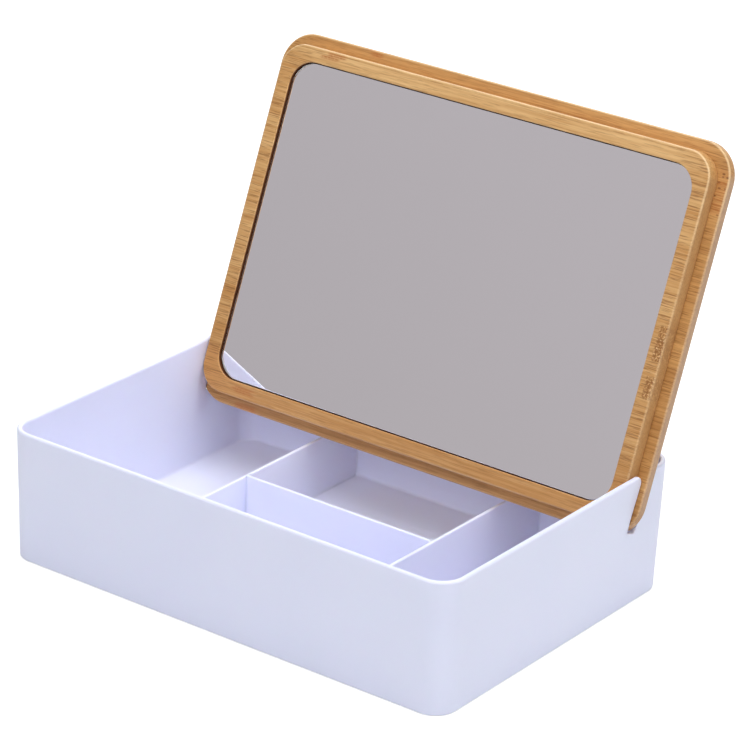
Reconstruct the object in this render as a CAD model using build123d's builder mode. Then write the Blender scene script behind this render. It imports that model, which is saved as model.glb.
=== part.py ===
from build123d import *

import os
from math import radians, sqrt, tan

# Vanity box with mirror: a plastic tub with four compartments and a bamboo lid.
# The lid carries a mirror on its inner side.  It lies on the tub to close it, and
# here it stands in two slanted slots in the side walls, as a table mirror.
# Millimetres, +Z up, front of the box towards -Y, origin at the middle of the base.

os.makedirs("parts", exist_ok=True)

# Tub, measured at the rim
tub_width = 250.0
tub_depth = 180.0
tub_height = 65.0
tub_corner = 13.0
wall = 2.7
floor_thickness = 2.5
draft_angle = 1.4
rim_round = 1.2
base_round = 1.0
floor_fillet = 1.5

# Dividers that stand on the tub's floor
divider_thickness = 1.8
divider_top = 31.7
divider_offset = 54.0
divider_round = 0.6
divider_relief = 0.2

# Lid: an outer board a little wider than the tub, and a smaller one that drops inside it
lid_overhang = 2.5
board_thickness = 6.3
board_corner = 17.0
board_back_round = 2.0
board_front_round = 0.8
frame_clearance = 0.55
frame_thickness = 8.0
frame_corner = 13.0
frame_round = 0.8
frame_rim = 7.5

# Mirror pane, sunk in the smaller board on strips of mounting tape
mirror_sink = 2.2
mirror_thickness = 3.0
mirror_gap = 0.5
mirror_corner = 11.5
mirror_arris = 0.3
opening_round = 0.4
tape_thickness = 0.8
tape_width = 12.0
tape_length = 130.0
tape_pitch = 52.0
tape_count = 4

# The lid standing in its slots
lean_angle = 21.4
lid_front_at_rim = 54.2
lid_centre_up = 63.7
slot_front_gap = 0.3
slot_rear_gap = 0.4
slot_rest_gap = 0.3
slot_mouth_round = 3.2
slot_floor_round = 1.5
mouth_reach = 12.0

# Worked out from the sizes above
draft = tan(radians(draft_angle))
inner_width = tub_width - 2 * wall
inner_depth = tub_depth - 2 * wall
board_width = tub_width + 2 * lid_overhang
board_height = tub_depth + 2 * lid_overhang
frame_width = inner_width - 2 * frame_clearance
frame_height = inner_depth - 2 * frame_clearance
opening_width = frame_width - 2 * frame_rim
opening_height = frame_height - 2 * frame_rim
opening_corner = mirror_corner + mirror_gap
pane_width = opening_width - 2 * mirror_gap
pane_height = opening_height - 2 * mirror_gap
recess_depth = mirror_sink + mirror_thickness + tape_thickness

# Directions and planes of the leaning lid
lid_up = Vector(0, 0, 1).rotate(Axis.X, -lean_angle)
lid_front = Vector(0, -1, 0).rotate(Axis.X, -lean_angle)
rim_crossing = Vector(0, lid_front_at_rim, tub_height)
lid_centre = rim_crossing + lid_up * lid_centre_up
lid_plane = Plane(origin=lid_centre, x_dir=(1, 0, 0), z_dir=lid_front)
board_plane = lid_plane.offset(-frame_thickness)
mirror_plane = lid_plane.offset(-mirror_sink)
tape_plane = mirror_plane.offset(-mirror_thickness)
lid_axis = Axis(lid_centre, lid_front)


def inner_half(size, height):
    """Half of the tub's inner width or depth at a height: the walls draw in downwards."""
    return size / 2 - (tub_height - height) * draft


def side_point(up, front):
    """Point (y, z) that lies up along the lid and in front of its mirror side."""
    point = rim_crossing + lid_up * up + lid_front * front
    return point.Y, point.Z


def rim_point(front):
    """Point (y, z) where a line along the lid, in front of its mirror side, meets the rim."""
    y, z = side_point(0, front)
    return side_point((tub_height - z) / lid_up.Z, front)


def crosses_wall(edge):
    """True for a short edge that runs across a side wall."""
    run = edge @ 1 - edge @ 0
    return edge.length < 2 * wall and abs(run.X) > abs(run.Y) + abs(run.Z)


# The lid rests with its rounded lower corners on the slot floors, just inside the walls
board_foot = lid_centre_up - board_height / 2
foot_height = side_point(board_foot, -frame_thickness)[1]
corner_run = inner_half(inner_width, foot_height) - (board_width / 2 - board_corner)
corner_rise = board_corner - sqrt(board_corner**2 - corner_run**2)
slot_floor = board_foot + corner_rise - slot_rest_gap
slot_front = slot_front_gap - frame_thickness
slot_rear = -slot_rear_gap - board_thickness - frame_thickness

# Tub: a drafted plastic shell, open at the top, with a slanted slot in each side wall
with BuildPart() as storage_tub:
    with BuildSketch(Plane.XY.offset(tub_height)):
        RectangleRounded(tub_width, tub_depth, tub_corner)
    extrude(amount=-tub_height, taper=draft_angle)
    fillet(storage_tub.faces().sort_by(Axis.Z)[0].edges(), base_round)
    with BuildSketch(Plane.XY.offset(tub_height)):
        RectangleRounded(inner_width, inner_depth, tub_corner - wall)
    extrude(amount=floor_thickness - tub_height, taper=draft_angle, mode=Mode.SUBTRACT)
    inner_floor = storage_tub.faces().filter_by(Axis.Z).sort_by(Axis.Z)[1]
    fillet(inner_floor.edges(), floor_fillet)
    # The slot's outline from the side, open upwards, with a flared mouth
    with BuildSketch(Plane.YZ) as slot_outline:
        front_rim = rim_point(slot_front)
        rear_rim = rim_point(slot_rear)
        sky = tub_height + mouth_reach
        with BuildLine():
            Polyline(
                side_point(slot_floor, slot_front),
                side_point(slot_floor, slot_rear),
                rear_rim,
                (rear_rim[0] + mouth_reach, tub_height),
                (rear_rim[0] + mouth_reach, sky),
                (front_rim[0] - mouth_reach, sky),
                (front_rim[0] - mouth_reach, tub_height),
                front_rim,
                close=True,
            )
        make_face()
        mouth_corners = slot_outline.vertices().group_by(Axis.Y)[2].sort_by(Axis.X)[1:3]
        fillet(mouth_corners, slot_mouth_round)
        fillet(slot_outline.vertices().sort_by(Axis.Y)[:2], slot_floor_round)
    extrude(amount=tub_width, both=True, mode=Mode.SUBTRACT)
    # One soft edge runs along the rim and down around both slots
    slot_edges = storage_tub.edges(Select.LAST)
    rim_faces = storage_tub.faces().filter_by_position(Axis.Z, tub_height, tub_height)
    soft_edges = rim_faces.edges() + slot_edges
    fillet(soft_edges.filter_by(crosses_wall, reverse=True), rim_round)
storage_tub.part.label = "storage_tub"
export_step(storage_tub.part, "parts/storage_tub.step")

# Left and right dividers: upright plates from the front wall to the back wall
for name, side in (("left_divider", -1), ("right_divider", 1)):
    with BuildPart() as divider:
        with BuildSketch(Plane.YZ.offset(side * divider_offset)) as divider_outline:
            foot_reach = inner_half(inner_depth, floor_thickness)
            top_reach = inner_half(inner_depth, divider_top)
            with BuildLine():
                Polyline(
                    (-foot_reach, floor_thickness),
                    (foot_reach, floor_thickness),
                    (top_reach, divider_top),
                    (-top_reach, divider_top),
                    close=True,
                )
            make_face()
            foot_corners = divider_outline.vertices().group_by(Axis.Y)[0]
            fillet(foot_corners, floor_fillet + divider_relief)
        extrude(amount=divider_thickness / 2, both=True)
        long_edges = divider.edges().filter_by(Axis.Y).group_by(Axis.Z)[-1]
        fillet(long_edges, divider_round)
    divider.part.label = name
    export_step(divider.part, f"parts/{name}.step")

# Cross divider: a shorter plate between the other two
with BuildPart() as cross_divider:
    with BuildSketch(Plane.XY.offset(floor_thickness)):
        Rectangle(2 * divider_offset - divider_thickness, divider_thickness)
    extrude(amount=divider_top - floor_thickness)
    fillet(cross_divider.edges().filter_by(Axis.X).group_by(Axis.Z)[-1], divider_round)
cross_divider.part.label = "cross_divider"
export_step(cross_divider.part, "parts/cross_divider.step")

# Lid board: the outer bamboo board, whose edges reach through the slots
with BuildPart() as lid_board:
    with BuildSketch(board_plane):
        RectangleRounded(board_width, board_height, board_corner)
    extrude(amount=-board_thickness)
    flat_faces = lid_board.faces().filter_by(lid_axis).sort_by(lid_axis)
    fillet(flat_faces[0].edges(), board_back_round)
    fillet(flat_faces[-1].edges(), board_front_round)
lid_board.part.label = "lid_board"
export_step(lid_board.part, "parts/lid_board.step")

# Mirror frame: the smaller bamboo board, sunk in the middle to hold the mirror
with BuildPart() as mirror_frame:
    with BuildSketch(board_plane):
        RectangleRounded(frame_width, frame_height, frame_corner)
    extrude(amount=frame_thickness)
    fillet(mirror_frame.faces().sort_by(lid_axis)[-1].edges(), frame_round)
    with BuildSketch(lid_plane):
        RectangleRounded(opening_width, opening_height, opening_corner)
    extrude(amount=-recess_depth, mode=Mode.SUBTRACT)
    front_face = mirror_frame.faces().filter_by(lid_axis).sort_by(lid_axis)[-1]
    fillet(front_face.inner_wires()[0].edges(), opening_round)
mirror_frame.part.label = "mirror_frame"
export_step(mirror_frame.part, "parts/mirror_frame.step")

# Mirror pane with ground edges
with BuildPart() as mirror_glass:
    with BuildSketch(mirror_plane):
        RectangleRounded(pane_width, pane_height, mirror_corner)
    extrude(amount=-mirror_thickness)
    pane_faces = mirror_glass.faces().filter_by(lid_axis)
    chamfer(pane_faces.edges(), mirror_arris)
mirror_glass.part.label = "mirror_glass"
export_step(mirror_glass.part, "parts/mirror_glass.step")

# Mounting tape: strips between the back of the mirror and the floor of the recess
with BuildPart() as mirror_tape:
    with BuildSketch(tape_plane):
        with GridLocations(tape_pitch, 0, tape_count, 1):
            Rectangle(tape_width, tape_length)
    extrude(amount=-tape_thickness)
mirror_tape.part.label = "mirror_tape"
export_step(mirror_tape.part, "parts/mirror_tape.step")
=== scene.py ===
from math import cos, pi, radians, sin, tan

import bpy
import numpy as np
from bpy.props import FloatProperty, FloatVectorProperty, PointerProperty
from mathutils import Euler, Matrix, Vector


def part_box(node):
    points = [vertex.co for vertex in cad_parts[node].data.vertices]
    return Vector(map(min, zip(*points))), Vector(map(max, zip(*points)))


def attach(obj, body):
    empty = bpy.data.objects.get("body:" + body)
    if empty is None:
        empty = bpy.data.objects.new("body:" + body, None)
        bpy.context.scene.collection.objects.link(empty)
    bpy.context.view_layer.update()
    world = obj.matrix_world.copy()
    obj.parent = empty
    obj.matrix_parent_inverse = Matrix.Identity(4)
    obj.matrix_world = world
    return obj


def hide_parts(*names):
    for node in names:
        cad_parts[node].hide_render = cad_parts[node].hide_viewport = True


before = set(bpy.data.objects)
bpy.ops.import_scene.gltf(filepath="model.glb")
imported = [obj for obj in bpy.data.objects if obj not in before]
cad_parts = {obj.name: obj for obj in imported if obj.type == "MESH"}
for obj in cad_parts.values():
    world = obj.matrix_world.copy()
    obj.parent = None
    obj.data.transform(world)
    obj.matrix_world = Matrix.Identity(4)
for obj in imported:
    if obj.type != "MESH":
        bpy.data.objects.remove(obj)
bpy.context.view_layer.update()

# Vanity box with a mirror: a satin plastic tub with four compartments, and a bamboo lid
# that stands in two slanted slots of the side walls and shows its mirror.
# Metres, +Z up, front of the box towards -Y, origin at the middle of the base.

bl_info = {
    "name": "Vanity Box with Mirror",
    "version": (1, 0, 0),
    "blender": (4, 5, 0),
    "location": "View3D > Sidebar > Vanity Box",
    "description": "Builds a storage tub with dividers and a standing bamboo mirror lid",
    "category": "Add Mesh",
}

TUB_LOW, TUB_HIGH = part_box("storage_tub")
MM = 0.001
SQUARE = ((-1, -1), (1, -1), (1, 1), (-1, 1))


def tone(red, green, blue):
    """A colour as it shows on a screen, 0 to 255, as linear light for a shader."""
    screen = np.array([red, green, blue]) / 255.0
    linear = np.where(screen <= 0.04045, screen / 12.92, ((screen + 0.055) / 1.055) ** 2.4)
    return tuple(float(part) for part in linear)


def length(name, description, default):
    """A length in metres that a user can change."""
    return FloatProperty(name=name, description=description, default=default, unit="LENGTH", subtype="DISTANCE")


def angle(name, description, default):
    """An angle that a user can change; the default is given in degrees."""
    return FloatProperty(name=name, description=description, default=radians(default), unit="ROTATION", subtype="ANGLE")


def share(name, description, default):
    """A plain number from nought to one that a user can change."""
    return FloatProperty(name=name, description=description, default=default, min=0.0, max=1.0, subtype="FACTOR")


def colour(name, description, default):
    """A colour that a user can change."""
    return FloatVectorProperty(name=name, description=description, default=default, min=0.0, max=1.0, subtype="COLOR")


def power(name, description, default):
    """The power of a lamp in watts."""
    return FloatProperty(name=name, description=description, default=default, unit="POWER")


# ---------------------------------------------------------------- sizes and colours


class TubSettings(bpy.types.PropertyGroup):
    """Sizes of the moulded tub and its dividers."""

    width: length("Width", "Width of the tub at its rim", float(TUB_HIGH[0] - TUB_LOW[0]))
    depth: length("Depth", "Depth of the tub at its rim", float(TUB_HIGH[1] - TUB_LOW[1]))
    height: length("Height", "Height of the tub", float(TUB_HIGH[2] - TUB_LOW[2]))
    corner: length("Corner", "Radius of the upright corners at the rim", 13.0 * MM)
    wall: length("Wall", "Thickness of the walls", 2.7 * MM)
    floor: length("Floor", "Thickness of the floor", 2.5 * MM)
    draft: angle("Draft", "How far the walls lean outwards", 1.4)
    rim_round: length("Rim round", "Radius of the soft edge round the rim", 1.2 * MM)
    slot_round: length("Slot round", "Radius of the soft edge down in the slots", 0.5 * MM)
    base_round: length("Base round", "Radius between the walls and the base", 1.0 * MM)
    floor_fillet: length("Floor fillet", "Radius between the walls and the floor inside", 1.5 * MM)
    mouth_round: length("Slot mouth", "Radius where a slot opens into the rim", 3.2 * MM)
    slot_corner: length("Slot corner", "Radius in the lower corners of a slot", 1.5 * MM)
    slot_front: length("Slot front", "Distance from mirror side of the lid back to the slot's front", 7.7 * MM)
    slot_rear: length("Slot rear", "Distance from mirror side of the lid back to the slot's rear", 14.7 * MM)
    slot_floor: length("Slot floor", "Place of the slot's floor along the lid, from the rim", -25.0 * MM)
    divider_top: length("Divider top", "Height of the dividers above the base", 31.7 * MM)
    divider_width: length("Divider width", "Thickness of the dividers", 1.8 * MM)
    divider_offset: length("Divider offset", "Distance of the side dividers from the middle", 54.0 * MM)
    divider_round: length("Divider round", "Radius along the top of the dividers", 0.6 * MM)
    divider_root: length("Divider root", "Radius where a divider grows out of a wall", 0.9 * MM)


class LidSettings(bpy.types.PropertyGroup):
    """Sizes and place of the bamboo lid and its mirror."""

    lean: angle("Lean", "How far the standing lid leans back", 21.4)
    rim_crossing: length("Rim crossing", "Where the lid's mirror side crosses the height of the rim", 54.2 * MM)
    centre_up: length("Centre", "Distance of the lid's centre from there, along the lid", 63.7 * MM)
    board_width: length("Board width", "Width of the outer board", 255.0 * MM)
    board_height: length("Board height", "Height of the outer board", 185.0 * MM)
    board_corner: length("Board corner", "Corner radius of the outer board", 17.0 * MM)
    board_thickness: length("Board thickness", "Thickness of the outer board", 6.3 * MM)
    board_back_round: length("Back round", "Radius round the back of the outer board", 2.0 * MM)
    board_front_round: length("Front round", "Radius round the front of the outer board", 0.8 * MM)
    frame_width: length("Frame width", "Width of the inner board", 243.5 * MM)
    frame_height: length("Frame height", "Height of the inner board", 173.5 * MM)
    frame_corner: length("Frame corner", "Corner radius of the inner board", 13.0 * MM)
    frame_thickness: length("Frame thickness", "Thickness of the inner board", 8.0 * MM)
    frame_round: length("Frame round", "Radius round the front of the inner board", 0.8 * MM)
    frame_rim: length("Frame rim", "Width of the wood round the mirror", 7.5 * MM)
    opening_corner: length("Opening corner", "Corner radius of the opening for the mirror", 12.0 * MM)
    opening_round: length("Opening round", "Radius round the opening", 0.4 * MM)
    recess: length("Recess", "Depth of the recess for the mirror", 6.0 * MM)
    pane_gap: length("Pane gap", "Gap between the mirror and the wood", 0.5 * MM)
    pane_sink: length("Pane sink", "How deep the mirror lies below the wood", 2.2 * MM)
    pane_thickness: length("Pane thickness", "Thickness of the mirror", 3.0 * MM)
    pane_arris: length("Pane arris", "Width of the ground edge of the mirror", 0.06 * MM)
    # Painted highlight: the white ground edge widens in the left corners to stand in for a pale glint on the glass
    # edge.
    corner_arris_highlight: length("Corner arris", "Extra width of the ground edge in the corners", 1.5 * MM)


class FinishSettings(bpy.types.PropertyGroup):
    """Colours and surfaces."""

    plastic: colour("Plastic", "Colour of the moulded plastic", tone(232, 233, 255))
    plastic_roughness: share("Plastic roughness", "Roughness of the moulded plastic", 0.42)
    board_light: colour("Board light", "Lighter colour of the outer board", tone(214, 162, 98))
    board_dark: colour("Board dark", "Darker colour of the outer board", tone(172, 120, 64))
    board_end: colour("Board end", "Colour of the outer board's cut ends", tone(198, 160, 130))
    frame_light: colour("Frame light", "Lighter colour of the inner board", tone(230, 186, 126))
    frame_dark: colour("Frame dark", "Darker colour of the inner board", tone(194, 138, 76))
    frame_end: colour("Frame end", "Colour of the inner board's cut ends", tone(194, 146, 94))
    thread: colour("Thread", "Colour of the darkest fibres", tone(142, 90, 42))
    knot: colour("Knot", "Colour of the knots", tone(178, 104, 48))
    pore: colour("Pore", "Colour of the pores", tone(98, 58, 30))
    # Pale wood for light speckle spots, and for the painted highlight along the boards' front arris.
    worn_and_highlight: colour("Worn edge", "Colour of the wood where its lacquer has worn", tone(246, 214, 164))
    # Painted shade: the routed recess is coloured dark brown to stand in for the shade inside it.
    recess: colour("Recess", "Colour of the routed recess", tone(74, 38, 12))
    wood_roughness: share("Wood roughness", "Roughness of the lacquered bamboo", 0.42)
    silver: colour("Silver", "Colour of the mirror's silvering", tone(240, 239, 241))
    foam: colour("Foam", "Colour of the mounting tape", tone(228, 226, 220))


class StageSettings(bpy.types.PropertyGroup):
    """Camera, lamps and surroundings."""

    camera_place: FloatVectorProperty(
        name="Camera place", description="Where the camera stands", size=3,
        default=(0.90870, -1.23764, 0.75492), subtype="TRANSLATION", unit="LENGTH",
    )
    camera_yaw: angle("Camera yaw", "Turn of the camera about the upright", 35.7527)
    camera_pitch: angle("Camera pitch", "How far the camera looks down", 23.1364)
    camera_roll: angle("Camera roll", "Tilt of the camera about its own axis", 2.4412)
    camera_lens: FloatProperty(
        name="Camera lens", description="Focal length on a sensor 36 mm wide", default=176.396, unit="CAMERA",
    )
    key_power: power("Key lamp", "Power of the large lamp overhead", 17.51)
    front_power: power("Front lamp", "Power of the lamp in front", 14.832)
    side_power: power("Side lamp", "Power of the lamp on the right", 9.27)
    back_power: power("Back lamp", "Power of the lamp behind", 14.42)
    lamp_colour: colour("Lamp colour", "Colour of all lamps", (0.93, 0.96, 0.99))
    surround: share("Surround", "Strength of the even light from all round", 0.06)
    surround_colour: colour("Surround colour", "Colour of the even light", tone(250, 250, 255))
    card: colour("Grey card", "Colour of the card that the mirror shows", tone(189, 184, 187))


# ---------------------------------------------------------------- surfaces


def eased(steps):
    """Shares from nought to one, closer together at both ends: half of one less the cosine."""
    return (1 - np.cos(np.linspace(0, pi, steps + 1))) / 2


def rounded_columns(corner_steps, side_steps):
    """Columns of a rounded rectangle: for each its corner signs and the direction that it faces.

    Round each corner the signs stay and the direction turns a quarter; along each side the
    direction stays and the signs run from one corner to the next.
    """
    signs = np.array([(1.0, 1.0), (-1.0, 1.0), (-1.0, -1.0), (1.0, -1.0)])
    parts = []
    for corner in range(4):
        turn = (corner + np.linspace(0, 1, corner_steps + 1)) * pi / 2
        here = np.repeat(signs[corner][None], corner_steps + 1, axis=0)
        parts.append(np.column_stack([here, turn]))
        along = eased(side_steps)[1:-1, None]
        run = signs[corner] * (1 - along) + signs[(corner + 1) % 4] * along
        parts.append(np.column_stack([run, np.full(len(run), (corner + 1) * pi / 2)]))
    return np.concatenate(parts)


def rounded_rings(columns, half_width, half_height, corner, level):
    """Rings of a rounded rectangle, one for each value given.

    A point is the corner centre times the column's signs, pushed out by the corner radius along
    the column's direction; the centre lies one radius in from the half width and half height.
    """
    half_width, half_height, corner, level = (
        np.asarray(part, dtype=float).reshape(-1, 1) if np.ndim(part) < 2 else part
        for part in np.broadcast_arrays(half_width, half_height, corner, level)
    )
    across = (half_width - corner) * columns[:, 0] + corner * np.cos(columns[:, 2])
    upward = (half_height - corner) * columns[:, 1] + corner * np.sin(columns[:, 2])
    return np.stack([across, upward, np.broadcast_to(level, across.shape)], axis=-1)


def round_edge(radius, steps):
    """Quarter round as pairs (in from the side, back from the face), from the side to the face."""
    turn = np.linspace(0, pi / 2, steps + 1)
    return radius * (1 - np.cos(turn)), radius * (1 - np.sin(turn))


def rounded_line(corners, radii, spans, arc_steps):
    """Points along a bent line whose bends are arcs, and the direction to the right of travel.

    Each bend's arc starts and ends the radius times the tangent of half the turn away from the
    corner, and its centre lies one radius to the side that the line turns to.
    """
    corners = np.asarray(corners, dtype=float)
    run = np.diff(corners, axis=0)
    run /= np.linalg.norm(run, axis=1)[:, None]
    heading = np.arctan2(run[:, 1], run[:, 0])
    turn = (np.diff(heading) + pi) % (2 * pi) - pi
    reach = np.asarray(radii) * np.tan(np.abs(turn) / 2)
    points, headings, stations = [], [], []
    for leg in range(len(run)):
        start = corners[leg] + (run[leg] * reach[leg - 1] if leg > 0 else 0)
        end = corners[leg + 1] - (run[leg] * reach[leg] if leg < len(turn) else 0)
        along = eased(spans[leg])[:, None]
        points.append(start * (1 - along) + end * along)
        headings.append(np.full(spans[leg] + 1, heading[leg]))
        stations.append(2 * leg + eased(spans[leg]))
        if leg < len(turn):
            side = np.sign(turn[leg])
            centre = end + side * radii[leg] * np.array([-run[leg][1], run[leg][0]])
            now = heading[leg] + turn[leg] * np.linspace(0, 1, arc_steps + 1)[1:-1]
            spoke = side * radii[leg] * np.stack([np.sin(now), -np.cos(now)], axis=-1)
            points.append(centre + spoke)
            headings.append(now)
            stations.append(2 * leg + 1 + np.linspace(0, 1, arc_steps + 1)[1:-1])
    points, headings = np.concatenate(points), np.concatenate(headings)
    right = np.stack([np.sin(headings), -np.cos(headings)], axis=-1)
    return points, right, np.concatenate(stations)


def closed_shell(rings, bands=None):
    """Vertices and faces of a closed shell from rings, with a pole in the middle of each end.

    Faces join each ring to the next and its last column to its first. The signed volume, a third
    of the sum of each corner's triple product, tells whether all faces have to be turned round.
    Bands give the finish between each ring and the next.
    """
    count, columns = rings.shape[:2]
    grid = np.arange(count * columns).reshape(count, columns)
    after = np.roll(grid, -1, axis=1)
    quads = np.stack([grid[:-1], after[:-1], after[1:], grid[1:]], axis=-1).reshape(-1, 4)
    first, last = count * columns, count * columns + 1
    start = np.stack([after[0], grid[0], np.full(columns, first)], axis=-1)
    end = np.stack([grid[-1], after[-1], np.full(columns, last)], axis=-1)
    points = np.concatenate([rings.reshape(-1, 3), [rings[0].mean(axis=0), rings[-1].mean(axis=0)]])
    triangles = np.concatenate([quads[:, [0, 1, 2]], quads[:, [0, 2, 3]], start, end])
    a, b, c = (points[triangles[:, part]] for part in range(3))
    if np.einsum("ij,ij->i", a, np.cross(b, c)).sum() < 0:
        quads, start, end = quads[:, ::-1], start[:, ::-1], end[:, ::-1]
    faces = [quads, np.concatenate([start, end])]
    bands = np.zeros(count - 1, dtype=int) if bands is None else np.asarray(bands)
    finish = np.concatenate([
        np.repeat(bands, columns), np.repeat(bands[0], columns), np.repeat(bands[-1], columns),
    ])
    return points, faces, finish


def add_piece(name, points, faces, finish, materials):
    """A smooth mesh object at the origin, from points, lists of faces and a finish per face."""
    mesh = bpy.data.meshes.new(name)
    sizes = np.concatenate([np.full(len(group), group.shape[1]) for group in faces])
    corners = np.concatenate([group.reshape(-1) for group in faces])
    mesh.vertices.add(len(points))
    mesh.vertices.foreach_set("co", points.astype(np.float32).reshape(-1))
    mesh.loops.add(len(corners))
    mesh.loops.foreach_set("vertex_index", corners.astype(np.int32))
    mesh.polygons.add(len(sizes))
    mesh.polygons.foreach_set("loop_start", np.concatenate([[0], np.cumsum(sizes)[:-1]]).astype(np.int32))
    for material in materials:
        mesh.materials.append(material)
    mesh.polygons.foreach_set("material_index", finish.astype(np.int32))
    mesh.polygons.foreach_set("use_smooth", np.ones(len(sizes), dtype=bool))
    mesh.update(calc_edges=True)
    if mesh.validate():
        raise RuntimeError(f"{name} has broken faces")
    piece = bpy.data.objects.new(name, mesh)
    bpy.context.scene.collection.objects.link(piece)
    return piece


def hand_over(piece, body, node):
    """The piece rides on its body and stands for its node, which is hidden."""
    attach(piece, body)
    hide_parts(node)


def tub_rings(size, lid):
    """Rings of the tub's skin: out over the base, up the wall, over the rim, down and in again.

    A wall point is the corner centre pushed out by the radius along the column's direction, and
    the radius shrinks with depth below the rim times the tangent of the draft. On the side walls
    the rim line runs down round the slot; its columns fan out to spread places at the base, and
    the rim's round is swept along the line at right angles to it.
    """
    slope = tan(size.draft)
    half_x = size.width / 2 - size.corner
    half_y = size.depth / 2 - size.corner
    up = np.array([sin(lid.lean), cos(lid.lean)])
    front = np.array([-cos(lid.lean), sin(lid.lean)])
    crossing = np.array([lid.rim_crossing, size.height])
    slot_lines = [crossing - front * size.slot_front, crossing - front * size.slot_rear]
    at_rim = [line + up * (size.height - line[1]) / up[1] for line in slot_lines]
    at_floor = [line + up * size.slot_floor for line in slot_lines]
    corners = [(-half_y, size.height), at_rim[0], at_floor[0], at_floor[1], at_rim[1], (half_y, size.height)]
    radii = [size.mouth_round, size.slot_corner, size.slot_corner, size.mouth_round]
    line, right, station = rounded_line(corners, radii, [18, 10, 4, 10, 3], 8)
    soft = np.interp(station, [1.0, 2.2, 6.8, 8.0], [size.rim_round, size.slot_round, size.slot_round, size.rim_round])
    foot = np.interp(station, np.arange(10), MM * np.array([-77, 24, 31, 46, 47.5, 49.5, 51, 66, 72.5, 77]))

    # Columns go round anticlockwise: right wall, back, left wall, front
    round_corner = eased(16)
    side = len(line) - 2
    blocks = []
    for quarter, (sign_x, sign_y) in enumerate([(1, 1), (-1, 1), (-1, -1), (1, -1)]):
        turn = (quarter + np.linspace(0, 1, 15)) * pi / 2
        steady = np.ones(len(turn))
        blocks.append(np.stack([
            steady * sign_x * half_x, turn, steady * sign_y * half_y, steady * size.height,
            steady * 0, -steady, steady * sign_y * half_y, steady * size.rim_round,
        ], axis=-1))
        if quarter % 2:
            # Left wall from back to front, or right wall from front to back
            order = slice(-2, 0, -1) if quarter == 1 else slice(1, -1)
            steady = np.ones(side)
            blocks.append(np.stack([
                steady * sign_x * half_x, steady * (quarter + 1) * pi / 2, line[order, 0], line[order, 1],
                right[order, 0], right[order, 1], foot[order], soft[order],
            ], axis=-1))
        else:
            along = sign_x * half_x * (1 - 2 * round_corner[1:-1])
            steady = np.ones(len(along))
            blocks.append(np.stack([
                along, steady * (quarter + 1) * pi / 2, steady * sign_y * half_y, steady * size.height,
                steady * 0, -steady, steady * sign_y * half_y, steady * size.rim_round,
            ], axis=-1))
    centre_x, turn, rim_y, rim_z, into_y, into_z, foot_y, soft = np.concatenate(blocks).T

    def ring(centre_y, z, inset):
        radius = size.corner - inset
        x = centre_x + radius * np.cos(turn)
        return np.stack([x, centre_y + radius * np.sin(turn), z + 0 * x], axis=-1)

    def wall_inset(z):
        return (size.height - z) * slope

    def bottom_round(radius, level, extra, steps):
        """Quarter round between a leaning wall and a level face, from wall to face."""
        turned = np.linspace(size.draft, pi / 2, steps + 1)
        middle = extra + wall_inset(level + radius) + radius / cos(size.draft)
        return [(level + radius - radius * sin(part), middle - radius * cos(part)) for part in turned]

    base_arc = bottom_round(size.base_round, 0.0, 0.0, 6)
    floor_arc = bottom_round(size.floor_fillet, size.floor, size.wall, 7)
    rings = []
    for shrink in (0.02, 0.5):
        rings.append(ring(foot_y, 0.0, size.corner) * [shrink, shrink, 0])
    rings.append(ring(foot_y, 0.0, base_arc[-1][1] + 0.8 * MM))
    rings.extend(ring(foot_y, z, inset) for z, inset in base_arc[::-1])
    over, below = round_edge(1.0, 7)
    over, below = [soft * part for part in over], [soft * part for part in below]
    over.append(soft + 0.25 * (size.wall - 2 * soft))
    below.append(0 * soft)
    start_y, start_z = rim_y + into_y * soft, rim_z + into_z * soft
    for part in eased(12)[1:-1]:
        y, z = foot_y * (1 - part) + start_y * part, base_arc[0][0] * (1 - part) + start_z * part
        rings.append(ring(y, z, wall_inset(z)))
    for across, deep in list(zip(over, below)) + [(size.wall - part, deep) for part, deep in zip(over, below)][::-1]:
        y, z = rim_y + into_y * deep, rim_z + into_z * deep
        rings.append(ring(y, z, wall_inset(z) + across))
    for part in eased(12)[1:-1]:
        y, z = start_y * (1 - part) + foot_y * part, start_z * (1 - part) + floor_arc[0][0] * part
        rings.append(ring(y, z, wall_inset(z) + size.wall))
    rings.extend(ring(foot_y, z, inset) for z, inset in floor_arc)
    rings.append(ring(foot_y, size.floor, floor_arc[-1][1] + 0.8 * MM))
    for shrink in (0.5, 0.02):
        rings.append(ring(foot_y, size.floor, size.corner) * [shrink, shrink, 1])
    return np.array(rings)


def divider_rings(size, along_y, offset, foot_reach, top_reach):
    """Rings across a divider, from one end to the other.

    Each ring is a plate's section: a foot that widens into the floor, straight sides and a
    rounded top. Near both ends the section widens by the root radius less the root of that
    radius squared less the square of the distance still missing, so that it grows out of the wall.
    """
    root, half, edge = size.divider_root, size.divider_width / 2, size.divider_round
    flare = lambda gap: root - np.sqrt(root**2 - np.clip(root - gap, 0, root) ** 2)
    over, below = round_edge(edge, 5)
    low = np.concatenate([root * (1 - np.cos(np.linspace(0, pi / 2, 6))), [3 * root]])
    level = np.concatenate([size.floor + low, size.divider_top - below])
    width = np.concatenate([half + flare(low), half - over])
    section_side = np.concatenate([-width, width[::-1]])
    section_level = np.concatenate([level, level[::-1]])
    near = root * (1 - np.cos(np.linspace(0, pi / 2, 7)))
    gap = np.concatenate([near, [3 * root]])
    rings = []
    share_up = (section_level - size.floor) / (size.divider_top - size.floor)
    reach = foot_reach + (top_reach - foot_reach) * share_up
    for end in (-1, 1):
        for distance in (gap if end < 0 else gap[::-1]):
            wide = section_side + np.sign(section_side) * flare(distance)
            lift = np.where(share_up > 0.9, flare(distance) * 0.6, 0)
            run = end * (reach - distance)
            place = (offset + wide, run) if along_y else (run, offset + wide)
            rings.append(np.stack([place[0], place[1], section_level + lift], axis=-1))
    return np.array(rings)


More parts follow.
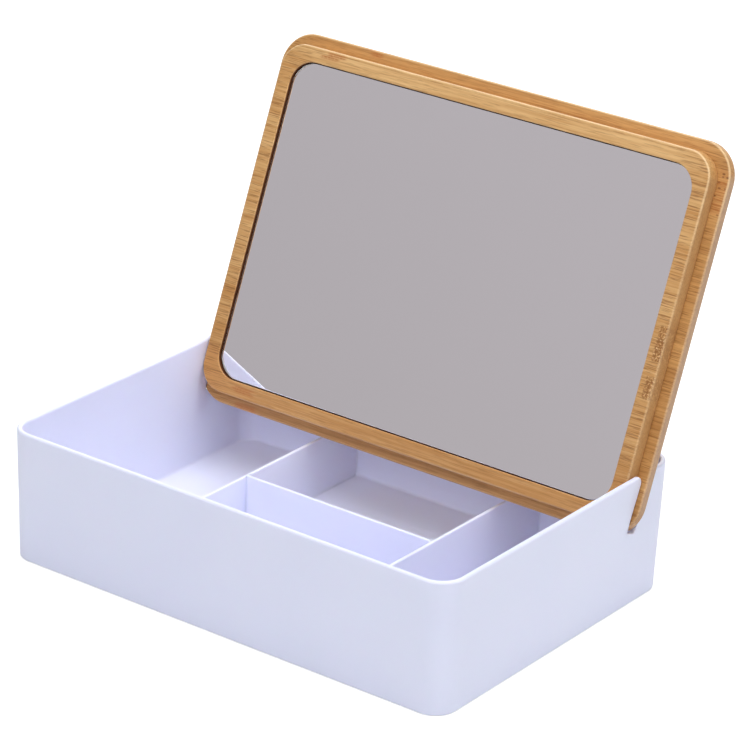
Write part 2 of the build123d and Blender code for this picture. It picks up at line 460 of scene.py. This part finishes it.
def lid_place(points, size, tub):
    """From the lid's own frame, across, up and out of the mirror side, to the box's frame."""
    up = np.array([0, sin(size.lean), cos(size.lean)])
    front = np.array([0, -cos(size.lean), sin(size.lean)])
    centre = np.array([0, size.rim_crossing, tub.height]) + up * size.centre_up
    across = np.array([1.0, 0, 0])
    return centre + points[..., :1] * across + points[..., 1:2] * up + points[..., 2:] * front


def board_rings(width, height, corner, back, front, back_round, front_round):
    """Rings of a plain board: back face, rounded back edge, side, rounded front edge, front face."""
    columns = rounded_columns(16, 20)
    back_in, back_off = round_edge(back_round, 8)
    front_in, front_off = round_edge(front_round, 6)
    far = corner - 0.2 * MM
    side = np.array([0.25, 0.5, 0.75]) * (front - front_round - back - back_round) + back + back_round
    inset = np.concatenate([
        [far, back_round + 1.0 * MM], back_in[::-1], 0 * side, front_in, [front_round + 1.0 * MM, far],
    ])
    level = np.concatenate([[back, back], back + back_off[::-1], side, front - front_off, [front, front]])
    return rounded_rings(columns, width / 2 - inset, height / 2 - inset, corner - inset, level)


# ---------------------------------------------------------------- materials


class Value:
    """A shader socket that can stand in a sum; each step of the sum adds its Math node."""

    def __init__(self, recipe, socket):
        self.recipe = recipe
        self.socket = socket

    def _math(self, operation, *values):
        return self.recipe.add("ShaderNodeMath", {"operation": operation}, dict(enumerate(values)))

    def __add__(self, other):
        return self._math("ADD", self, other)

    __radd__ = __add__

    def __sub__(self, other):
        return self._math("SUBTRACT", self, other)

    def __rsub__(self, other):
        return self._math("SUBTRACT", other, self)

    def __mul__(self, other):
        return self._math("MULTIPLY", self, other)

    __rmul__ = __mul__

    def __truediv__(self, other):
        return self._math("DIVIDE", self, other)

    def __rtruediv__(self, other):
        return self._math("DIVIDE", other, self)

    def __pow__(self, other):
        return self._math("POWER", self, other)

    def step(self, low, high):
        """Nought below low, one above high, and a smooth rise between; falls where low is above high."""
        settings = {"interpolation_type": "SMOOTHSTEP"}
        return self.recipe.add("ShaderNodeMapRange", settings, {0: self, 1: low, 2: high, 3: 0.0, 4: 1.0})

    def whole(self):
        return self._math("FLOOR", self)

    def beyond(self, limit):
        """How far the value is above a limit, and nought below it."""
        return self._math("MAXIMUM", self - limit, 0.0)

    def size(self):
        return self._math("ABSOLUTE", self)


class Recipe:
    """The nodes of one material, or of the world."""

    def __init__(self, name, owners="materials", output="ShaderNodeOutputMaterial"):
        self.owner = getattr(bpy.data, owners).new(name)
        self.owner.use_nodes = True
        self.tree = self.owner.node_tree
        self.tree.nodes.clear()
        self.output = self.tree.nodes.new(output)

    def add(self, kind, settings=None, inputs=None, output=0):
        """Adds a node: its settings first, then the values or links of its sockets."""
        node = self.tree.nodes.new(kind)
        for key, value in (settings or {}).items():
            if key == "stops":
                ramp = node.color_ramp.elements
                while len(ramp) < len(value):
                    ramp.new(0.5)
                for element, (place, shade) in zip(ramp, value):
                    element.position = place
                    element.color = shade if len(shade) == 4 else (*shade, 1.0)
            else:
                setattr(node, key, value)
        for key, value in (inputs or {}).items():
            socket = node.inputs[key]
            if isinstance(value, Value):
                self.tree.links.new(value.socket, socket)
            elif isinstance(value, (tuple, list)) and socket.type == "RGBA" and len(value) == 3:
                socket.default_value = (*value, 1.0)
            else:
                socket.default_value = value
        return Value(self, node.outputs[output])

    def mix(self, factor, first, second, mode="MIX"):
        """Blends two colours."""
        settings = {"data_type": "RGBA", "blend_type": mode, "clamp_factor": True}
        return self.add("ShaderNodeMix", settings, {0: factor, 6: first, 7: second}, 2)

    def place(self, turn=(0, 0, 0), shift=(0, 0, 0)):
        """Object coordinates, turned and shifted."""
        base = self.add("ShaderNodeTexCoord", output="Object")
        inputs = {"Vector": base, "Location": shift, "Rotation": turn}
        return self.add("ShaderNodeMapping", {"vector_type": "POINT"}, inputs)

    def stretch(self, vector, scale, shift=(0, 0, 0)):
        """Coordinates scaled along each axis and shifted."""
        inputs = {"Vector": vector, "Location": shift, "Scale": scale}
        return self.add("ShaderNodeMapping", {"vector_type": "POINT"}, inputs)

    def random(self, number):
        """A random number from nought to one for each whole number."""
        return self.add("ShaderNodeTexWhiteNoise", {"noise_dimensions": "1D"}, {"W": number})

    def noise(self, vector, scale, detail=2.0, rough=0.5, distortion=0.0):
        inputs = {"Vector": vector, "Scale": scale, "Detail": detail, "Roughness": rough, "Distortion": distortion}
        return self.add("ShaderNodeTexNoise", None, inputs)

    def finish(self, **inputs):
        """Ends the material in one Principled shader."""
        named = {key.replace("_", " "): value for key, value in inputs.items()}
        return self.end(self.add("ShaderNodeBsdfPrincipled", None, named))

    def end(self, shader):
        """Links the last shader to the output."""
        self.tree.links.new(shader.socket, self.output.inputs["Surface"])
        return self.owner

    def seen(self):
        """One for what the camera, a reflection or clear glass looks at, nought for plain light."""
        rays = ("Is Camera Ray", "Is Glossy Ray", "Is Transmission Ray")
        camera, glossy, clear = (self.add("ShaderNodeLightPath", output=ray) for ray in rays)
        return self.add("ShaderNodeMath", {"operation": "ADD", "use_clamp": True}, {0: camera + glossy, 1: clear})


def plastic(settings):
    """Satin moulded plastic: faint flow shades, a fine spark-eroded texture and handling marks."""
    recipe = Recipe("tub_plastic_satin")
    near = recipe.place()
    flow = recipe.noise(near, 14.0, 3.0, 0.5, 0.6)
    marks = recipe.noise(near, 120.0, 4.0, 0.6)
    texture = recipe.noise(near, 2600.0, 2.0, 0.6)
    pale = tuple(min(1.0, part * 1.03) for part in settings.plastic)
    deep = tuple(part * 0.97 for part in settings.plastic)
    shade = recipe.mix(flow, deep, pale)
    rough = settings.plastic_roughness + (marks - 0.5) * 0.12 + (flow - 0.5) * 0.08
    bump = recipe.add("ShaderNodeBump", None, {"Strength": 0.12, "Distance": 0.0002, "Height": texture})
    return recipe.finish(
        Base_Color=shade, Roughness=rough, Normal=bump, Specular_IOR_Level=0.45, Subsurface_Weight=0.35,
        Subsurface_Radius=(1.0, 0.8, 0.9), Subsurface_Scale=0.0015,
    )


def shared_palette(finish):
    """The bamboo colours that both boards share."""
    return {part: tuple(getattr(finish, part)) for part in ("thread", "knot", "pore", "worn_and_highlight")}


def bamboo(name, size, tub, palette, rough, marks, seed):
    """Lacquered bamboo with its grain along the width of the lid.

    Strips lie side by side up the board, each a little lighter or darker. Fibres are noise drawn
    out along the grain. A knot is a stack of short brown dashes, each shifted at random; a speckled
    place is fine isotropic noise, and pores are small dark cells. Towards the ends of the board
    the cut fibres show their own smoother colour. Painted shade darkens the lower part of the lid,
    and a painted highlight lightens the front arris along the outline, most at the top.
    """
    recipe = Recipe(name)
    centre = Vector((0, size.rim_crossing, tub.height)) + Vector((0, sin(size.lean), cos(size.lean))) * size.centre_up
    turned = Vector(centre)
    turned.rotate(Euler((size.lean, 0, 0)))
    here = recipe.place(turn=(size.lean, 0, 0), shift=tuple(-turned))
    across, deep, up = (recipe.add("ShaderNodeSeparateXYZ", None, {0: here}, key) for key in "XYZ")
    drawn = recipe.stretch(here, (1.0, 50.0, 50.0), (seed, 0, 0))
    wide = recipe.stretch(here, (1.0, 14.0, 14.0), (seed, 0, 0))
    fibres = recipe.noise(drawn, 17.0, 4.0, 0.62)
    threads = recipe.noise(recipe.stretch(here, (2.4, 50.0, 50.0), (0, seed, seed)), 42.0, 2.0, 0.5)
    streaks = recipe.noise(wide, 14.0, 3.0, 0.6)
    cloud = recipe.noise(wide, 4.5, 2.0, 0.5)
    lamina = up / (5.8 * MM) + deep / (40.0 * MM) + seed
    strip = lamina.whole()
    strip_shade = recipe.random(strip)
    seam = (lamina - strip - 0.5).size().step(0.46, 0.5)
    outer = across.size().step(96.0 * MM, 118.0 * MM)
    base = fibres.step(0.36, 0.64) * 0.46 + streaks.step(0.3, 0.7) * 0.28
    base = base + strip_shade * 0.20 + cloud.step(0.3, 0.7) * 0.18
    # Painted shade: the wood darkens towards the bottom of the lid by the palette's lower share; the outer share
    # darkens it towards the left and right ends.
    base = base - (up / (-0.09)).step(0.0, 1.0) * palette["lower"] - outer * palette["outer"]
    wood = recipe.mix(base, palette["dark"], palette["light"])
    wood = recipe.mix(threads.step(0.52, 0.66) * (0.34 + outer * 0.36) + seam * 0.25, wood, palette["thread"])
    dash = (up / (1.05 * MM) + seed * 7).whole()
    shift = (recipe.random(dash) - 0.5) * (5.0 * MM)
    body = (up / (1.05 * MM) + seed * 7 - dash - 0.5).size().step(0.5, 0.2)
    grit = recipe.noise(here, 900.0, 3.0, 0.7)
    cells = {"Vector": recipe.stretch(here, (0.6, 1.0, 1.0)), "Scale": 480.0}
    pores = recipe.add("ShaderNodeTexVoronoi", {"feature": "F1"}, cells)
    for kind, place_x, place_z, width, height in marks:
        near_z = (up - place_z * MM).size().step((height + 0.9) * MM, (height - 0.6) * MM)
        if kind == "knot":
            near_x = (across - place_x * MM + shift).size().step((width + 0.6) * MM, (width - 2.2) * MM)
            stain = (0.3 + body * 0.55) * (0.5 + grit.step(0.35, 0.6) * 0.5)
            wood = recipe.mix(near_x * near_z * stain, wood, palette["knot"])
        elif kind == "speckle":
            near_x = (across - place_x * MM).size().step((width + 0.5) * MM, (width - 0.5) * MM)
            wood = recipe.mix(near_x * near_z * grit.step(0.45, 0.54) * 0.9, wood, palette["thread"])
            wood = recipe.mix(near_x * near_z * grit.step(0.42, 0.36) * 0.6, wood, palette["worn_and_highlight"])
        else:
            near_x = (across - place_x * MM).size().step((width + 0.5) * MM, (width - 0.5) * MM)
            wood = recipe.mix(near_x * near_z * pores.step(0.30, 0.16) * 0.85, wood, palette["pore"])
            wood = recipe.mix(near_x * near_z * (0.15 + threads.step(0.5, 0.65) * 0.5), wood, palette["knot"])
    ends = (across.size() - palette["reach"]).step(-1.0 * MM, 0.4 * MM)
    stipple = recipe.noise(here, 700.0, 2.0, 0.5).step(0.35, 0.65) * 0.5 + streaks.step(0.3, 0.7) * 0.4
    cut = recipe.mix(stipple, palette["end_dark"], palette["end"])
    wood = recipe.mix(ends * 0.85, wood, cut)
    # Along its outline the front edge is painted lighter: a painted highlight on the arris, strongest at the top where
    # light from above falls, with a little worn lacquer along it
    half_x, half_y, corner, front = palette["outline"]
    past_x, past_y = across.size().beyond(half_x - corner), up.size().beyond(half_y - corner)
    inset = corner - (past_x * past_x + past_y * past_y) ** 0.5
    edge = inset.step(1.1 * MM, 0.3 * MM) * (deep - front).step(1.1 * MM, 0.3 * MM)
    wood = recipe.mix(edge * (0.1 + fibres.step(0.35, 0.6) * 0.15 + up.step(0.03, 0.08) * 0.3), wood, palette["worn_and_highlight"])
    relief = {"Strength": 0.3, "Distance": 0.0003, "Height": fibres * 0.6 + threads * 0.4}
    surface = recipe.add("ShaderNodeBump", None, relief)
    gloss = rough + (cloud - 0.5) * 0.12 - fibres * 0.08 + ends * 0.12
    return recipe.finish(Base_Color=wood, Roughness=gloss, Normal=surface, Specular_IOR_Level=0.4)


def routed(finish):
    """Routed side and floor of the recess, coloured dark brown as painted shade for the shade inside the recess, with a
    mottle.
    """
    recipe = Recipe("recess_painted_shade")
    near = recipe.place()
    mottle = recipe.noise(recipe.stretch(near, (1.0, 8.0, 8.0)), 60.0, 3.0, 0.6)
    # Painted shade: dark brown for the shade in the recess, lighter in mottled places.
    shade = recipe.mix(mottle, tuple(finish.recess), tuple(part * 1.5 for part in finish.recess))
    bump = recipe.add("ShaderNodeBump", None, {"Strength": 0.4, "Distance": 0.0003, "Height": mottle})
    return recipe.finish(Base_Color=shade, Roughness=0.6 + mottle * 0.15, Normal=bump, Specular_IOR_Level=0.2)


def silvered(settings):
    """Silver seen through clear glass: nearly flawless, with a trace of dust haze."""
    recipe = Recipe("mirror_silver")
    near = recipe.place()
    haze = recipe.noise(near, 30.0, 3.0, 0.6)
    shade = recipe.mix(haze, tuple(part * 0.985 for part in settings.silver), tuple(settings.silver))
    return recipe.finish(Base_Color=shade, Metallic=1.0, Roughness=0.012 + haze * 0.012)


def glass_edge():
    """Ground edge and back of the pane: green-grey glass, matt from the wheel."""
    recipe = Recipe("mirror_edge")
    grind = recipe.noise(recipe.place(), 1800.0, 2.0, 0.6)
    shade = recipe.mix(grind, tone(96, 112, 104), tone(142, 158, 150))
    bump = recipe.add("ShaderNodeBump", None, {"Strength": 0.2, "Distance": 0.0001, "Height": grind})
    return recipe.finish(Base_Color=shade, Roughness=0.3 + grind * 0.2, Normal=bump)


def ground_arris_highlight():
    """The pane's narrow ground arris: frosted white glass, whose white in the widened left corners is a painted
    highlight.
    """
    recipe = Recipe("mirror_arris_highlight")
    grind = recipe.noise(recipe.place(), 2400.0, 2.0, 0.6)
    shade = recipe.mix(grind, tone(232, 236, 238), tone(250, 251, 252))
    bump = recipe.add("ShaderNodeBump", None, {"Strength": 0.1, "Distance": 0.0001, "Height": grind})
    return recipe.finish(Base_Color=shade, Roughness=0.35 + grind * 0.1, Normal=bump)


def tape_foam(settings):
    """White foam tape: small closed cells."""
    recipe = Recipe("tape_foam")
    cells = recipe.add("ShaderNodeTexVoronoi", None, {"Vector": recipe.place(), "Scale": 2500.0})
    shade = recipe.mix(cells, tuple(settings.foam), tuple(part * 0.85 for part in settings.foam))
    bump = recipe.add("ShaderNodeBump", None, {"Strength": 0.4, "Distance": 0.0001, "Height": cells})
    return recipe.finish(Base_Color=shade, Roughness=0.85 + cells * 0.1, Normal=bump)


# ---------------------------------------------------------------- operators


class VANITY_OT_tub(bpy.types.Operator):
    """Build the moulded storage tub with its two slots"""

    bl_idname = "vanity.tub"
    bl_label = "Storage Tub"

    def execute(self, context):
        size = context.scene.vanity_tub
        rings = tub_rings(size, context.scene.vanity_lid)
        material = plastic(context.scene.vanity_finish)
        piece = add_piece("tub_shell", *closed_shell(rings), [material])
        hand_over(piece, "tub", "storage_tub")
        return {"FINISHED"}


class VANITY_OT_dividers(bpy.types.Operator):
    """Build the three low dividers between the compartments"""

    bl_idname = "vanity.dividers"
    bl_label = "Dividers"

    def execute(self, context):
        size = context.scene.vanity_tub
        material = bpy.data.materials["tub_plastic_satin"]
        slope = tan(size.draft)
        inner = size.depth / 2 - size.wall + 0.05 * MM
        foot_reach = inner - (size.height - size.floor) * slope
        top_reach = inner - (size.height - size.divider_top) * slope
        between = size.divider_offset - size.divider_width / 2 + 0.05 * MM
        plans = (
            ("left_plate", "left_divider", True, -size.divider_offset, foot_reach, top_reach),
            ("right_plate", "right_divider", True, size.divider_offset, foot_reach, top_reach),
            ("cross_plate", "cross_divider", False, 0.0, between, between),
        )
        for name, node, along_y, offset, foot, top in plans:
            rings = divider_rings(size, along_y, offset, foot, top)
            piece = add_piece(name, *closed_shell(rings), [material])
            hand_over(piece, "tub", node)
        return {"FINISHED"}


class VANITY_OT_lid_board(bpy.types.Operator):
    """Build the outer bamboo board of the lid"""

    bl_idname = "vanity.lid_board"
    bl_label = "Lid Board"

    def execute(self, context):
        lid, tub, finish = context.scene.vanity_lid, context.scene.vanity_tub, context.scene.vanity_finish
        front = -lid.frame_thickness
        rings = board_rings(
            lid.board_width, lid.board_height, lid.board_corner, front - lid.board_thickness, front,
            lid.board_back_round, lid.board_front_round,
        )
        palette = {
            **shared_palette(finish), "light": tuple(finish.board_light), "dark": tuple(finish.board_dark),
            "end": tuple(finish.board_end), "end_dark": tuple(part * 0.8 for part in finish.board_end),
            # lower: share of painted shade towards the bottom of the board
            "reach": lid.board_width / 2, "lower": 0.25, "outer": 0.05,
            "outline": (lid.board_width / 2, lid.board_height / 2, lid.board_corner, lid.frame_thickness),
        }
        marks = (
            ("knot", -76, 91, 4.0, 1.6), ("knot", -97, -91, 7.0, 1.4), ("pore", 124.3, 71, 2.6, 10.0),
            ("knot", 30, -40, 5.0, 9.0), ("knot", -60, 20, 5.0, 12.0), ("knot", 85, 35, 5.0, 8.0),
        )
        material = bamboo("board_bamboo", lid, tub, palette, finish.wood_roughness, marks, 3.7)
        piece = add_piece("outer_board", *closed_shell(lid_place(rings, lid, tub)), [material])
        hand_over(piece, "lid", "lid_board")
        return {"FINISHED"}


class VANITY_OT_mirror_frame(bpy.types.Operator):
    """Build the inner bamboo board with the recess for the mirror"""

    bl_idname = "vanity.mirror_frame"
    bl_label = "Mirror Frame"

    def execute(self, context):
        lid, tub, finish = context.scene.vanity_lid, context.scene.vanity_tub, context.scene.vanity_finish
        columns = rounded_columns(16, 20)
        half_x, half_y = lid.frame_width / 2, lid.frame_height / 2
        back, soft = -lid.frame_thickness, 0.2 * MM
        side_in, side_off = round_edge(lid.frame_round, 6)
        outer = [(lid.frame_corner - 0.2 * MM, back), (soft + 0.8 * MM, back), (soft, back), (0, back + soft)]
        outer += [(0, back + part * (lid.frame_thickness - lid.frame_round)) for part in (0.15, 0.5, 0.85)]
        outer += [(inset, -off) for inset, off in zip(side_in, side_off)]
        outer += [(lid.frame_round + 0.5 * MM, 0.0)]
        outer = np.array(outer)
        inset, level = outer.T
        rings = [rounded_rings(columns, half_x - inset, half_y - inset, lid.frame_corner - inset, level)]
        # The opening: its round is as much wider than the hole as it still has to go inwards
        hole = [(lid.opening_round + 0.5 * MM, 0.0)]
        turn = np.linspace(0, pi / 2, 6)
        hole += [(lid.opening_round * (1 - sin(part)), -lid.opening_round * (1 - cos(part))) for part in turn]
        hole += [(0.0, -0.7 * MM), (0.0, -lid.recess * 0.5)]
        hole += [(0.0, -lid.recess), (-0.8 * MM, -lid.recess), (-lid.opening_corner + 0.2 * MM, -lid.recess)]
        hole = np.array(hole)
        open_x, open_y = half_x - lid.frame_rim, half_y - lid.frame_rim
        wider, level = hole.T
        rings.append(rounded_rings(columns, open_x + wider, open_y + wider, lid.opening_corner + wider, level))
        rings = np.concatenate(rings)
        palette = {
            **shared_palette(finish), "light": tuple(finish.frame_light), "dark": tuple(finish.frame_dark),
            "end": tuple(finish.frame_end), "end_dark": tuple(part * 0.85 for part in finish.frame_end),
            # lower: share of painted shade towards the bottom of the board
            "reach": lid.frame_width / 2, "lower": 0.4, "outer": 0.2,
            "outline": (half_x, half_y, lid.frame_corner, 0.0),
        }
        marks = (
            ("knot", -92.5, 84.3, 6.0, 1.8), ("knot", -95.5, -82.6, 6.5, 1.4), ("speckle", 120.0, -1.5, 2.8, 8.0),
            ("speckle", 120.0, -22, 2.8, 5.0),
        )
        material = bamboo("frame_bamboo", lid, tub, palette, finish.wood_roughness, marks, 11.3)
        bands = np.arange(len(rings) - 1) >= len(outer) + 7
        shell = closed_shell(lid_place(rings, lid, tub), bands)
        piece = add_piece("inner_board", *shell, [material, routed(finish)])
        hand_over(piece, "lid", "mirror_frame")
        return {"FINISHED"}


class VANITY_OT_mirror_pane(bpy.types.Operator):
    """Build the mirror pane and finish the tape behind it"""

    bl_idname = "vanity.mirror_pane"
    bl_label = "Mirror Pane"

    def execute(self, context):
        lid, tub, finish = context.scene.vanity_lid, context.scene.vanity_tub, context.scene.vanity_finish
        columns = rounded_columns(20, 20)
        half_x = lid.frame_width / 2 - lid.frame_rim - lid.pane_gap
        half_y = lid.frame_height / 2 - lid.frame_rim - lid.pane_gap
        corner = lid.opening_corner - lid.pane_gap
        face = -lid.pane_sink
        back = face - lid.pane_thickness
        # The ground edge widens in the left corners with the sine squared of twice the direction, most in the lower
        # left: the white glass there is a painted highlight
        share_left = np.where(columns[:, 0] < 0, np.where(columns[:, 1] < 0, 1.0, 0.4), 0.0)
        wide = lid.pane_arris + lid.corner_arris_highlight * share_left * np.sin(2 * columns[:, 2]) ** 2
        plain = np.zeros_like(wide)
        steady = plain + lid.pane_arris
        inset = [plain + corner - 0.3 * MM, steady, plain, plain, wide, wide + 0.4 * MM, plain + corner - 0.3 * MM]
        level = [plain + back, plain + back, plain + back + lid.pane_arris, face - 0.22 * wide]
        level += [plain + face] * 3
        inset, level = np.array(inset), np.array(level)
        rings = rounded_rings(columns, half_x - inset, half_y - inset, corner - inset, level)
        shell = closed_shell(lid_place(rings, lid, tub), [1, 1, 1, 2, 0, 0])
        piece = add_piece("mirror_pane", *shell, [silvered(finish), glass_edge(), ground_arris_highlight()])
        hand_over(piece, "lid", "mirror_glass")
        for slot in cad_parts["mirror_tape"].material_slots:
            slot.material = tape_foam(finish)
        return {"FINISHED"}


class VANITY_OT_stage(bpy.types.Operator):
    """Set up the floor, the soft light, the grey card and the camera"""

    bl_idname = "vanity.stage"
    bl_label = "Stage"

    def execute(self, context):
        scene, stage = context.scene, context.scene.vanity_stage
        self.add_floor()
        self.add_card(stage)
        self.add_lamp("key_lamp", stage, stage.key_power, 1.3, (0.15, -0.05, 1.5))
        self.add_lamp("front_lamp", stage, stage.front_power, 1.2, (0.25, -1.5, 1.2))
        self.add_lamp("side_lamp", stage, stage.side_power, 1.2, (1.6, 0.3, 0.9))
        self.add_lamp("back_lamp", stage, stage.back_power, 1.2, (-0.9, 1.5, 1.1))
        studio = Recipe("studio", "worlds", "ShaderNodeOutputWorld")
        even = {"Color": (*stage.surround_colour, 1.0), "Strength": stage.surround}
        light = studio.add("ShaderNodeBackground", None, even)
        white = studio.add("ShaderNodeBackground", None, {"Color": (1.0, 1.0, 1.0), "Strength": 1.0})
        scene.world = studio.end(studio.add("ShaderNodeMixShader", None, {0: studio.seen(), 1: light, 2: white}))
        lens = bpy.data.cameras.new("camera")
        lens.lens, lens.sensor_width, lens.clip_start = stage.camera_lens, 36.0, 0.05
        camera = bpy.data.objects.new("camera", lens)
        camera.location = stage.camera_place
        turn = Euler((pi / 2 - stage.camera_pitch, 0, stage.camera_yaw)).to_matrix()
        camera.rotation_euler = (turn @ Euler((0, 0, stage.camera_roll)).to_matrix()).to_euler()
        scene.collection.objects.link(camera)
        scene.camera = camera
        scene.view_settings.view_transform = "Standard"
        return {"FINISHED"}

    def add_floor(self):
        mesh = bpy.data.meshes.new("floor")
        reach, level = 6.0, -0.0002
        corners = [(x * reach, y * reach, level) for x, y in SQUARE]
        mesh.from_pydata(corners, [], [(0, 1, 2, 3)])
        recipe = Recipe("floor_white")
        matt = recipe.add("ShaderNodeBsdfDiffuse", None, {"Color": (0.8, 0.8, 0.8)})
        glow = recipe.add("ShaderNodeEmission", None, {"Color": (1.0, 1.0, 1.0), "Strength": recipe.seen() * 0.5})
        mesh.materials.append(recipe.end(recipe.add("ShaderNodeAddShader", None, {0: matt, 1: glow})))
        floor = bpy.data.objects.new("floor", mesh)
        bpy.context.scene.collection.objects.link(floor)

    def add_card(self, stage):
        """A grey card far in front of the mirror, which only reflections see."""
        mesh = bpy.data.meshes.new("grey_card")
        centre, half = Vector((-1.45, -2.15, 0.75)), 1.1
        facing = centre.normalized()
        across = Vector((0, 0, 1)).cross(facing).normalized()
        upward = facing.cross(across)
        corners = [centre + across * x * half + upward * y * half * 0.7 for x, y in SQUARE]
        mesh.from_pydata([tuple(corner) for corner in corners], [], [(0, 1, 2, 3)])
        recipe = Recipe("card_grey")
        near = recipe.place()
        side, high = (recipe.add("ShaderNodeSeparateXYZ", None, {0: near}, key) for key in "XZ")
        pale = (side - centre.x + high - centre.z).step(-0.6, 0.6)
        shade = recipe.mix(pale, tuple(part * 0.955 for part in stage.card), tuple(part * 1.05 for part in stage.card))
        mesh.materials.append(recipe.end(recipe.add("ShaderNodeEmission", None, {"Color": shade, "Strength": 1.0})))
        card = bpy.data.objects.new("grey_card", mesh)
        card.visible_camera = card.visible_diffuse = card.visible_shadow = False
        bpy.context.scene.collection.objects.link(card)

    def add_lamp(self, name, stage, power, width, place):
        """A square soft lamp that points at the box."""
        lamp = bpy.data.lights.new(name, "AREA")
        lamp.energy, lamp.size, lamp.color = power, width, stage.lamp_colour
        holder = bpy.data.objects.new(name, lamp)
        holder.location = place
        holder.rotation_euler = (Vector((0, 0, 0.06)) - Vector(place)).to_track_quat("-Z", "Y").to_euler()
        bpy.context.scene.collection.objects.link(holder)


class VANITY_PT_sidebar(bpy.types.Panel):
    """Lists the steps that build the box"""

    bl_label = "Vanity Box"
    bl_idname = "VANITY_PT_sidebar"
    bl_space_type = "VIEW_3D"
    bl_region_type = "UI"
    bl_category = "Vanity Box"

    def draw(self, context):
        for step in STEPS:
            self.layout.operator(step.bl_idname)


SETTINGS = {
    "vanity_tub": TubSettings,
    "vanity_lid": LidSettings,
    "vanity_finish": FinishSettings,
    "vanity_stage": StageSettings,
}
STEPS = (
    VANITY_OT_tub,
    VANITY_OT_dividers,
    VANITY_OT_lid_board,
    VANITY_OT_mirror_frame,
    VANITY_OT_mirror_pane,
    VANITY_OT_stage,
)


def register():
    for name, group in SETTINGS.items():
        bpy.utils.register_class(group)
        setattr(bpy.types.Scene, name, PointerProperty(type=group))
    for step in STEPS:
        bpy.utils.register_class(step)
    bpy.utils.register_class(VANITY_PT_sidebar)


def unregister():
    bpy.utils.unregister_class(VANITY_PT_sidebar)
    for step in reversed(STEPS):
        bpy.utils.unregister_class(step)
    for name, group in reversed(list(SETTINGS.items())):
        delattr(bpy.types.Scene, name)
        bpy.utils.unregister_class(group)


def main():
    register()
    bpy.ops.vanity.tub()
    bpy.ops.vanity.dividers()
    bpy.ops.vanity.lid_board()
    bpy.ops.vanity.mirror_frame()
    bpy.ops.vanity.mirror_pane()
    bpy.ops.vanity.stage()


if __name__ == "__main__":
    main()
